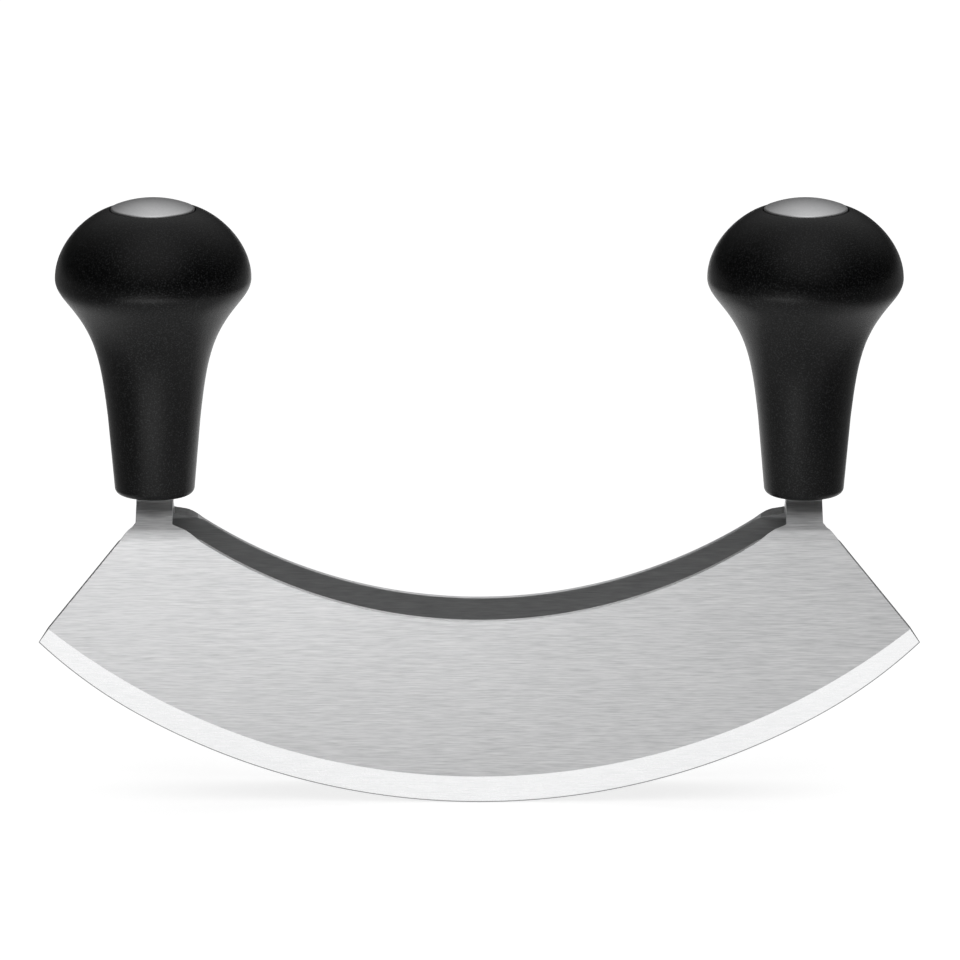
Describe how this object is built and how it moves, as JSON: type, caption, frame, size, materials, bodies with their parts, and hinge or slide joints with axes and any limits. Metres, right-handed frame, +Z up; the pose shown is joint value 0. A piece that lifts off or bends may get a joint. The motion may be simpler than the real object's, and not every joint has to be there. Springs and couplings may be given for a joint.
{
  "type": "double mezzaluna",
  "caption": "Hand chopper with twin curved blades side by side, joined by bent necks to an upright knob grip at each end.",
  "frame": {"origin": "on the surface that the two cutting edges stand on, below the middle of the blades", "axes": "+X along the blades to the right-hand grip, +Y from the front blade to the rear blade, +Z up through the grips"},
  "size_m": [0.23, 0.0512, 0.1588],
  "materials": {
    "blade_steel": "fine horizontal brushing, polished grind along the edge",
    "grip_plastic": "fine-textured satin black",
    "cap_steel": "satin",
    "fixing_steel": "plain turned"
  },
  "bodies": {
    "root": {"front_blade": "blade_steel", "rear_blade": "blade_steel", "left_grip": "grip_plastic", "right_grip": "grip_plastic", "left_cap": "cap_steel", "right_cap": "cap_steel", "left_washer": "fixing_steel", "right_washer": "fixing_steel", "left_retaining_pin": "fixing_steel", "right_retaining_pin": "fixing_steel", "left_tang_rivet": "fixing_steel", "right_tang_rivet": "fixing_steel"}
  },
  "joints": []
}
